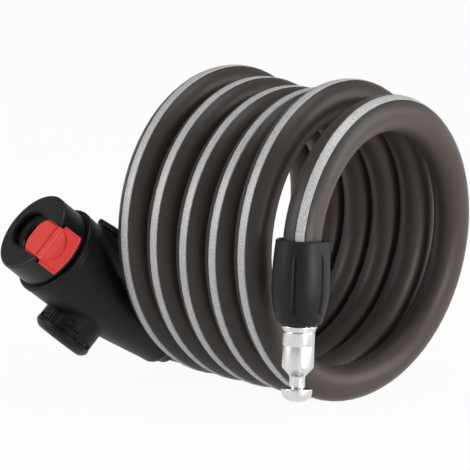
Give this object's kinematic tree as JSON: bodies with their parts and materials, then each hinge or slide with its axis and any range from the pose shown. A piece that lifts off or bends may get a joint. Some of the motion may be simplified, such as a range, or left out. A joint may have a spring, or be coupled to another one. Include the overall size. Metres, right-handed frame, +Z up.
{
  "type": "cable lock",
  "caption": "Self-coiling bicycle cable lock: a sprung smoky cable with a push-in bolt at one end and a key-operated lock head with a sliding dust cover at the other.",
  "frame": {"origin": "on the surface the coil stands on, under the middle of the fourth turn's bottom", "axes": "+Z up, X along the coil's axis from the lock head to the bolt, -Y towards the lock head and the bolt"},
  "size_m": [0.1234, 0.1268, 0.1048],
  "materials": {
    "smoked_jacket": "satin",
    "steel_rope": "satin",
    "black_plastic": "satin",
    "red_plastic": "satin",
    "bright_steel": "gloss",
    "chrome": "polished",
    "brass": "satin",
    "cast_zinc": "satin"
  },
  "bodies": {
    "lock": {"cable_jacket": "smoked_jacket", "cable_core": "steel_rope", "bolt_sleeve": "black_plastic", "bolt": "bright_steel", "head_shell": "black_plastic", "head_cap": "black_plastic", "lock_chassis": "cast_zinc", "cylinder_barrel": "chrome", "barrel_pin": "bright_steel", "latch_spring": "bright_steel", "spring_screw": "bright_steel", "socket_collar": "black_plastic", "socket_liner": "bright_steel", "bracket_rail": "black_plastic", "rail_screw_1": "bright_steel", "rail_screw_2": "bright_steel", "cable_anchor": "cast_zinc", "anchor_pin": "bright_steel"},
    "cylinder": {"key_plug": "brass", "wafer_1": "brass", "wafer_2": "brass", "wafer_3": "brass", "wafer_4": "brass", "wafer_5": "brass", "plug_clip": "bright_steel", "cam": "bright_steel", "cam_screw": "bright_steel"},
    "latch_bar": {"latch": "bright_steel"},
    "cover": {"dust_cover": "red_plastic"}
  },
  "joints": [
    {"name": "key_turn", "type": "hinge", "parent": "lock", "child": "cylinder", "pos_m": [-0.05591, -0.05529, 0.04474], "axis": [-0.1953, -0.729, 0.6561], "range_deg": [0, 90], "stiffness_Nm_per_rad": 0.0064, "springref_deg": -40.11},
    {"name": "latch_slide", "type": "slide", "parent": "lock", "child": "latch_bar", "axis": [0.94, -0.3299, -0.0867], "range_m": [0, 0.0022], "deforming": ["latch_spring"]},
    {"name": "cover_slide", "type": "slide", "parent": "lock", "child": "cover", "axis": [0.94, -0.3299, -0.0867], "range_m": [0, 0.009]}
  ],
  "couplings": [
    {"joint": "key_turn", "follows": "latch_slide", "rad_per_m": 713.9}
  ]
}
